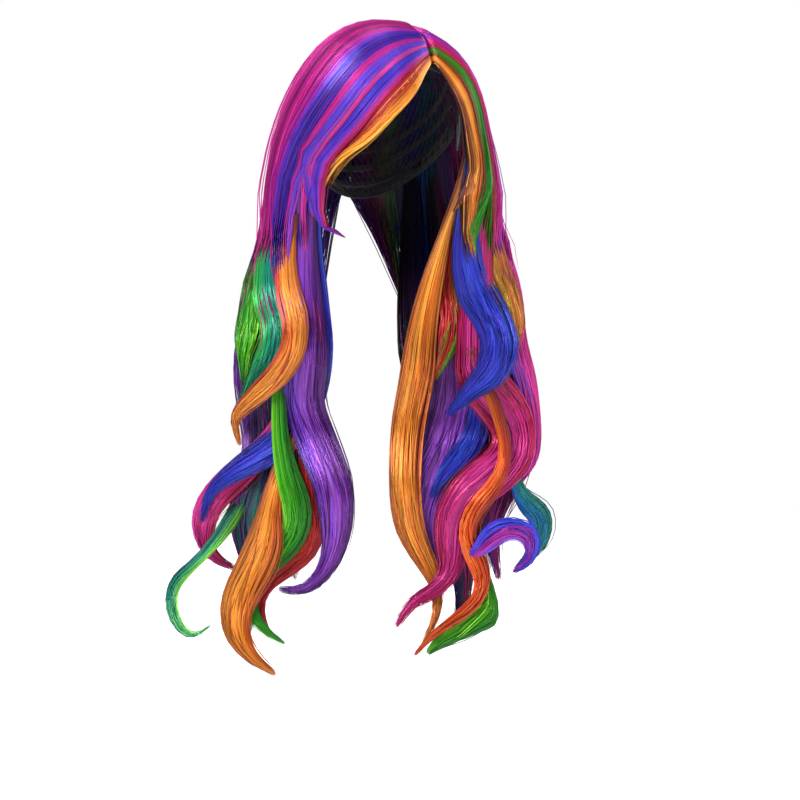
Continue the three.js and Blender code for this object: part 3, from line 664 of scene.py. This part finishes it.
def crown_route(bundle, side, ending):
    """Down the strip, and then down the outside of the nearest lock. ending is the share of fibres that go
    to the fringe's point instead, or a pair of shares between which all the fibres stop."""
    def rooted_at(on_strip):
        back = unit(on_strip[:, 1:2] - on_strip[:, :1]) * ROOT_OVERLAP
        return (on_strip[:, :1] - back) * ROOT_SINK

    def route(u, v, fibre, rng):
        count = len(u)

        def wide(values):
            return np.broadcast_to(values, (count, np.shape(values)[-1]))

        shares = np.concatenate([[0.0, 0.05], np.linspace(0.14, 1, 10)])[None]
        wander = 0.0 if rng is None else rng.normal(0, 0.025, (count, 1))
        drift = u[:, None] + wander * np.sin(shares * 6 + fibre[:, None] * 7)
        lift = v[:, None] * np.ones_like(shares)
        if rng is not None:
            stray = rng.random((count, 1)) < STRAY_SHARE
            lift = lift + stray * rng.uniform(0.3, 1.2, (count, 1)) * shares
        if isinstance(ending, tuple):
            stop = ending[0] + (ending[1] - ending[0]) * fibre[:, None]
            shares = shares * stop
            # Past a quarter of the way, the fibres close on the strip's edge away from the face.
            close = np.clip((shares - 0.25) / (stop - 0.25), 0, 1) ** 1.6
            on_strip = lay(bundle, wide(shares), drift + (0.9 - drift) * close, wide(lift))
            return np.concatenate([rooted_at(on_strip), on_strip], 1)
        on_strip = lay(bundle, wide(shares), drift, wide(lift))
        root = rooted_at(on_strip)
        if rng is None:
            inward = unit((NECK - on_strip[:, -1:]) * [1, 1, 0]) * CORE_TUCK
            end = on_strip[:, -1:] + (on_strip[:, -1:] - on_strip[:, -2:-1]) * 0.7 + inward
            return np.concatenate([root, on_strip[:, :-1], on_strip[:, -1:] + inward * 0.3, end], 1)
        last = on_strip[:, -1]
        which, share, place = nearest_on(rooted[side], np.linspace(0, 0.12, 4), last)
        longest = LONG_TAIL if bundle[-1, 0, 1] > 0.03 else SHORT_TAIL
        fall = 0.06 + longest * rng.random((count, 1)) ** 1.3
        reach = share[:, None] + TAIL_SHARES * fall
        across = np.clip(place, -0.95, 0.95)[:, None] + 0 * reach
        outside = 1.06 + 0.25 * fibre[:, None] + 0 * reach
        tails = np.stack([lay(lock, reach, across, outside) for lock in rooted[side]])
        tail = tails[which, np.arange(count)]
        path = np.concatenate([root, on_strip[:, :-1], tail], 1)
        if ending:
            spread = on_strip[:, -3:-2] - on_strip[:, -3:-2].mean(0, keepdims=True)
            depth = (on_strip[:, -3:-2] @ FACING.T)[..., 1:2]
            depth = (depth.mean() + (depth - depth.mean()) * POINT_DEPTH) * FACING[1]
            bend = FRINGE_BEND + depth + spread * SWEPT_SPREAD
            tip = FRINGE_TIP + depth + spread * POINT_SPREAD
            tip = bend + (tip - bend) * rng.uniform(0.55, 1, (count, 1, 1))
            point = np.concatenate([bend, bend + (tip - bend) * 0.55 + [[[0, 0, -0.003]]], tip], 1)
            swept = np.concatenate([root, on_strip[:, :-2], point], 1)
            chosen = (rng.random(count) < ending)[:, None, None]
            path = np.where(chosen, smooth_path(swept, path.shape[1]), path)
        return path
    return route


# Each strip: its side, its fibres, how they end, and its dyes from the face backwards.
CROWN = {
    "fringe_edge": ("right", 240, (0.5, 0.86),
        [(0, "amber"), (0.4, "orange"), (0.62, "rust"), (1, "crimson")]),
    "fringe_inner": ("right", 330, 1.0, [(0, "crimson"), (0.25, "magenta"), (0.45, "iris"), (1, "iris")]),
    "fringe_middle": ("right", 340, 0.55,
        [(0, "magenta"), (0.12, "rose"), (0.3, "iris"), (0.62, "blue"), (0.8, "magenta"), (1, "magenta")]),
    "fringe_outer": ("right", 340, 0.0,
        [(0, "violet"), (0.25, "navy"), (0.45, "iris"), (0.7, "magenta"), (1, "plum")]),
    "side_hair_right": ("right", 380, 0.0,
        [(0, "magenta"), (0.25, "plum"), (0.4, "magenta"), (0.65, "rose"), (0.85, "magenta"), (1, "purple")]),
    "back_hair_right_outer": ("right", 380, 0.0,
        [(0, "purple"), (0.3, "magenta"), (0.45, "iris"), (0.7, "teal"), (1, "violet")]),
    "back_hair_right_inner": ("right", 380, 0.0,
        [(0, "violet"), (0.3, "magenta"), (0.5, "orange"), (0.7, "blue"), (1, "purple")]),
    "face_hair_left": ("left", 260, 0.0,
        [(0, "umber"), (0.2, "rust"), (0.4, "amber"), (0.75, "orange"), (1, "rust")]),
    "temple_hair_left": ("left", 300, 0.0,
        [(0, "rust"), (0.2, "forest"), (0.5, "green"), (0.75, "forest"), (1, "crimson")]),
    "side_hair_left": ("left", 380, 0.0,
        [(0, "crimson"), (0.2, "magenta"), (0.45, "violet"), (0.75, "magenta"), (1, "rose")]),
    "back_hair_left_outer": ("left", 380, 0.0,
        [(0, "magenta"), (0.3, "rose"), (0.5, "violet"), (0.75, "teal"), (1, "blue")]),
    "back_hair_left_inner": ("left", 380, 0.0,
        [(0, "blue"), (0.3, "purple"), (0.5, "green"), (0.7, "magenta"), (1, "violet")]),
}
for seed, (node, (side, count, ending, bands)) in enumerate(CROWN.items()):
    bundle = sheets[side][(RIGHT_SHEET if side == "right" else LEFT_SHEET).index(node)]
    rng = np.random.default_rng(100 + seed)
    reach = 1.16 if node.startswith("back") else 1.07
    # The crown's fibres get strong painted shade on their inner side.
    piece = sheaf(f"{node}_fibres", fibre_material(f"{node} dye", bands), crown_route(bundle, side, ending),
                  count, CAP_FIBRE, CAP_SPACING, rng, reach=reach, inner_side_shade=0.8)
    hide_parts(node)
    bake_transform(piece)

# ---- Waved lengths ----
# Heat-set S waves that hang over the front of each shoulder. A lock that starts at the jaw comes out from
# under the cap's hair, and the others leave a longer lock further down. Tips are uneven and thin out.
CLUMPS = 11
WISPS = 22  # one in WISPS of the fibres follows each of the loose wisps
LOOSE_WISPS = 3
WISP_PLACES = np.array([1.25, -1.3, 0.4])  # across the lock, where 1 is its edge
CAP_START, FREE_START = 0.09, 0.16  # the share of the lock at which its own shape takes over
UNEVEN_TIPS = 0.14  # the shortest fibres end this share of the lock early
CLUMP_GATHER = 0.5
STRAYS = 0.03
FACE_CLEAR = {"right": 2.1, "left": 0.2}  # strips from the face's edge that locks start clear of
JOIN_HEIGHTS = np.array([[0.075, 0.055, 0.035, 0.015]])  # above the start, inside the longer lock
JOIN_SMOOTHING, FREE_SMOOTHING = 6, 2  # passes over the join, and over a whole lock without a cap root
LENGTH_FIBRE, LENGTH_SPACING = 0.00055, 0.0143  # radius, and length from ring to ring


def lock_route(bundle, side, from_cap):
    """From under the cap's hair or from inside a longer lock, and down the lock. Fibres gather into narrow
    clumps towards their tips, sway a little across and through the lock as sines of their share, and draw
    together at the end. The start is smoothed by averaging each place with its neighbours."""
    ends = bundle[0, 0] + np.array([[-1.0], [1.0]]) * bundle[0, 1]
    if from_cap:
        strips = np.stack(sheets[side])
        where = np.linspace(-1, 1, 9)
        spots = strips[:, -1, 0][:, None] + where[None, :, None] * strips[:, -1, 1][:, None]
        places = (np.arange(len(strips))[:, None] + (where[None] + 1) / 2).reshape(-1)
        near = [places[np.argmin(np.linalg.norm(spots.reshape(-1, 3) - p, axis=1))] for p in ends]
    else:
        which, share, place = nearest_on(rooted[side], np.linspace(0.1, 0.9, 41), bundle[:1, 0])
        longer = rooted[side][which[0]]
        size = np.linalg.norm(np.diff(longer[:, 0], axis=0), axis=1).sum()

    def route(u, v, fibre, rng):
        count = len(u)
        shares = np.linspace(CAP_START if from_cap else FREE_START, 1, 17)[None] * np.ones((count, 1))
        if rng is None:
            across, through = u[:, None] + 0 * shares, v[:, None] + 0 * shares
        else:
            shorter = 1 - UNEVEN_TIPS * rng.random((count, 1)) ** 1.5
            shares = shares[:, :1] + (shares - shares[:, :1]) * shorter
            clump = np.clip(((u + 1) / 2 * CLUMPS).astype(int), 0, CLUMPS - 1)
            centre = (clump + 0.5) / CLUMPS * 2 - 1
            gather = 1 - CLUMP_GATHER * np.clip(shares * 1.4 - 0.3, 0, 1)
            phase = (clump * 2.4)[:, None]
            grow = np.clip(shares * 3, 0, 1)
            across = centre[:, None] + (u - centre)[:, None] * gather
            across = across + 0.06 * grow * np.sin(2 * np.pi * 1.7 * shares + phase)
            across = across + rng.normal(0, 0.05, (count, 1)) * np.sin(7 * shares + 9 * fibre[:, None])
            through = v[:, None] + 0.3 * grow * np.sin(2 * np.pi * 2.3 * shares + phase * 1.7)
            stray = (rng.random((count, 1)) < STRAYS) * rng.uniform(0.5, 1.6, (count, 1))
            through = through + stray * grow * np.sin(4 * shares + 6 * fibre[:, None])
            across = across + 0.25 * stray * grow * np.sin(5 * shares + 3 * fibre[:, None])
            wisp = rng.integers(0, WISPS, (count, 1))
            loose = (wisp < LOOSE_WISPS) * np.clip(shares * 1.6 - 0.35, 0, 1)
            swing = WISP_PLACES[np.minimum(wisp, LOOSE_WISPS - 1)]
            curl = np.sin(2 * np.pi * (1.1 + 0.35 * wisp) * shares + 1.9 * wisp)
            drift = swing - across + 0.16 * rng.normal(0, 1, (count, 1)) + 0.22 * curl
            across = across + loose * drift * 0.85
            through = through + loose * 1.5 * np.cos(2 * np.pi * (1.3 + 0.3 * wisp) * shares + wisp)
        if not from_cap:
            # A lock that leaves a longer one is narrow at first.
            across = across * (0.35 + 0.65 * np.clip((shares - 0.12) / 0.25, 0, 1) ** 1.3)
        # The last third draws together into a point, each fibre by its own amount.
        across = across * (1 - (0.2 + 0.7 * fibre[:, None]) * np.clip((shares - 0.7) / 0.3, 0, 1) ** 1.4)
        on_lock = lay(bundle, shares, across, through)
        steps = np.ones((1, 4))
        if from_cap:
            under = near[0] + (near[1] - near[0]) * (np.clip(u, -1, 1) + 1)[:, None] / 2
            under = np.maximum(under, FACE_CLEAR[side])
            depth = -0.6 + 0.25 * np.clip(v, -1, 1)[:, None]
            begin = 0.62 + 0.16 * fibre[:, None]
            down = begin + (0.93 - begin) * np.array([[0.0, 0.4, 0.75, 1.0]])
            above = lay_sheet(side, under * steps, down, depth * steps)
        else:
            up = JOIN_HEIGHTS / size
            if rng is not None:
                up = up * rng.uniform(0.6, 1.2, (count, 1))
            inside = place[0] * 0.6 + 0.3 * u[:, None]
            above = lay(longer, np.maximum(share[0] - up, 0) * np.ones((count, 1)), inside * steps,
                        (-0.4 + 0.3 * v[:, None]) * steps)
        path = np.concatenate([above, on_lock], 1)
        for _ in range(JOIN_SMOOTHING):
            path[:, 1:8] = (path[:, :7] + 2 * path[:, 1:8] + path[:, 2:9]) / 4
        for _ in range(0 if from_cap else FREE_SMOOTHING):
            path[:, 1:-1] = (path[:, :-2] + 2 * path[:, 1:-1] + path[:, 2:]) / 4
        return path
    return route


# Each lock: its fibres, and its dyes across it from the wearer's right.
LOCKS = {
    "lock_right_teal": (300, [(0, "sea"), (0.4, "teal"), (0.7, "teal"), (1, "green")]),
    "lock_right_lime": (200, [(0, "lime"), (0.5, "green"), (1, "forest")]),
    "lock_right_orange": (240, [(0, "rust"), (0.4, "amber"), (0.7, "orange"), (1, "crimson")]),
    "lock_right_violet": (360,
        [(0, "plum"), (0.3, "purple"), (0.55, "lilac"), (0.8, "violet"), (1, "plum")]),
    "lock_right_indigo": (280, [(0, "navy"), (0.5, "blue"), (0.8, "iris"), (1, "navy")]),
    "lock_right_magenta": (250, [(0, "crimson"), (0.4, "magenta"), (0.8, "rose"), (1, "magenta")]),
    "lock_right_green": (250, [(0, "forest"), (0.35, "green"), (0.7, "green"), (1, "lime")]),
    "lock_right_amber": (290, [(0, "rust"), (0.35, "orange"), (0.7, "amber"), (1, "rust")]),
    "lock_right_red": (240, [(0, "crimson"), (0.5, "red"), (1, "rust")]),
    "lock_right_ringlet": (110, [(0, "lime"), (0.5, "teal"), (1, "sea")]),
    "lock_right_back_outer": (300, [(0, "sea"), (0.3, "teal"), (0.6, "plum"), (1, "purple")]),
    "lock_right_back_middle": (290,
        [(0, "umber"), (0.35, "magenta"), (0.6, "teal"), (0.8, "plum"), (1, "navy")]),
    "lock_right_back_inner": (250, [(0, "plum"), (0.5, "umber"), (1, "purple")]),
    "lock_left_blue": (290, [(0, "navy"), (0.35, "blue"), (0.7, "iris"), (1, "navy")]),
    "lock_left_magenta": (360,
        [(0, "crimson"), (0.3, "magenta"), (0.6, "rose"), (0.8, "magenta"), (1, "crimson")]),
    "lock_left_amber": (250, [(0, "rust"), (0.5, "amber"), (1, "green")]),
    "lock_left_rose": (220, [(0, "magenta"), (0.5, "rose"), (1, "blue")]),
    "lock_left_red": (210, [(0, "green"), (0.3, "rust"), (0.6, "red"), (1, "crimson")]),
    "lock_left_orange": (280, [(0, "rust"), (0.4, "orange"), (0.75, "amber"), (1, "rust")]),
    "lock_left_violet": (360, [(0, "violet"), (0.3, "lilac"), (0.6, "purple"), (1, "plum")]),
    "lock_left_indigo": (230, [(0, "navy"), (0.5, "blue"), (1, "navy")]),
    "lock_left_crimson": (260, [(0, "rust"), (0.4, "red"), (0.7, "orange"), (1, "red")]),
    "lock_left_teal": (200, [(0, "sea"), (0.5, "teal"), (1, "blue")]),
    "lock_left_spiral": (220, [(0, "blue"), (0.4, "violet"), (0.7, "magenta"), (1, "blue")]),
    "lock_left_green": (230, [(0, "forest"), (0.4, "green"), (0.75, "lime"), (1, "green")]),
    "lock_left_back_outer": (300, [(0, "plum"), (0.4, "magenta"), (0.7, "purple"), (1, "navy")]),
    "lock_left_back_middle": (290,
        [(0, "umber"), (0.3, "magenta"), (0.5, "sea"), (0.75, "plum"), (1, "navy")]),
    "lock_left_back_inner": (250, [(0, "navy"), (0.5, "plum"), (1, "umber")]),
}
for seed, (node, (count, bands)) in enumerate(LOCKS.items()):
    side = node.split("_")[1]
    bundle = lock_bundles[node]
    from_cap = bundle[0, 0, 2] > LOWEST_CAP_ROOT
    rng = np.random.default_rng(200 + seed)
    # Each lock's first quarter gets full painted shade, where it comes from under or inside other hair.
    piece = sheaf(f"{node}_fibres", fibre_material(f"{node} dye", bands), lock_route(bundle, side, from_cap),
                  count, LENGTH_FIBRE, LENGTH_SPACING, rng, reach=1.1, root_shade=1.0)
    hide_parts(node)
    if from_cap:
        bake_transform(piece)
    else:
        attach(piece, f"tress_{side}")

# ---- Studio ----
# A white light table for a floor, plain white surroundings, large soft lights, and the camera.
TABLE_RADIUS, TABLE_HEIGHT, TABLE_CORNERS = 3, -0.625, 64
turns = np.linspace(0, 2 * np.pi, TABLE_CORNERS, endpoint=False)
rim = np.stack([TABLE_RADIUS * np.cos(turns), TABLE_RADIUS * np.sin(turns),
                np.full(TABLE_CORNERS, TABLE_HEIGHT)], -1)
paper, nodes, links, shader = new_material("light table", 0.9)
mottle = nodes.new("ShaderNodeTexNoise")
mottle.inputs["Scale"].default_value = 3.0
tone = nodes.new("ShaderNodeValToRGB")
tone.color_ramp.elements[0].color = (0.86, 0.86, 0.86, 1)
tone.color_ramp.elements[1].color = (0.92, 0.92, 0.92, 1)
links.new(mottle.outputs["Fac"], tone.inputs["Fac"])
links.new(tone.outputs["Color"], shader.inputs["Base Color"])
shader.inputs["Emission Color"].default_value = (1, 1, 1, 1)
shader.inputs["Emission Strength"].default_value = 0.62
piece_from("light_table", rim, [np.arange(TABLE_CORNERS)[None]], paper)

world = bpy.data.worlds.new("studio")
bpy.context.scene.world = world
world.use_nodes = True
sky = world.node_tree.nodes["Background"]
sky.inputs["Color"].default_value = (1, 1, 1, 1)
seen = world.node_tree.nodes.new("ShaderNodeLightPath")
strength = world.node_tree.nodes.new("ShaderNodeMapRange")
strength.inputs["To Min"].default_value = 0.36
strength.inputs["To Max"].default_value = 1.0
world.node_tree.links.new(seen.outputs["Is Camera Ray"], strength.inputs["Value"])
world.node_tree.links.new(strength.outputs[0], sky.inputs["Strength"])
AZIMUTH, RISE = math.radians(-25), math.radians(1.0)
EYE_DISTANCE = 2.2
ASIDE = Vector((math.cos(AZIMUTH), math.sin(AZIMUTH), 0)) * 0.016
TARGET = ASIDE + Vector((0, 0, -0.291))


def soft_light(name, turn, rise, distance, size, power):
    """A square area light at a turn and a rise about the wig, aimed at it."""
    turn, rise = math.radians(turn), math.radians(rise)
    way = Vector((math.sin(turn) * math.cos(rise), -math.cos(turn) * math.cos(rise), math.sin(rise)))
    lamp = bpy.data.lights.new(name, "AREA")
    lamp.size = size
    lamp.energy = power
    light = bpy.data.objects.new(name, lamp)
    light.location = TARGET + way * distance
    light.rotation_euler = (-way).to_track_quat("-Z", "Y").to_euler()
    bpy.context.scene.collection.objects.link(light)


soft_light("key", -58, 38, 1.8, 0.6, 36)
soft_light("fill", 22, 14, 2.2, 1.0, 12)
soft_light("top", -20, 78, 1.8, 0.8, 7)
soft_light("rim", 150, 30, 2.0, 0.9, 20)
soft_light("side", 80, 20, 2.0, 0.9, 12)

camera = bpy.data.cameras.new("camera")
camera.lens = 93.4
camera.sensor_width = 36
eye = bpy.data.objects.new("camera", camera)
way = Vector((math.sin(AZIMUTH) * math.cos(RISE), -math.cos(AZIMUTH) * math.cos(RISE), math.sin(RISE)))
eye.location = TARGET + way * EYE_DISTANCE
eye.rotation_euler = (-way).to_track_quat("-Z", "Y").to_euler()
bpy.context.scene.collection.objects.link(eye)
bpy.context.scene.camera = eye
bpy.context.scene.view_settings.view_transform = "Standard"
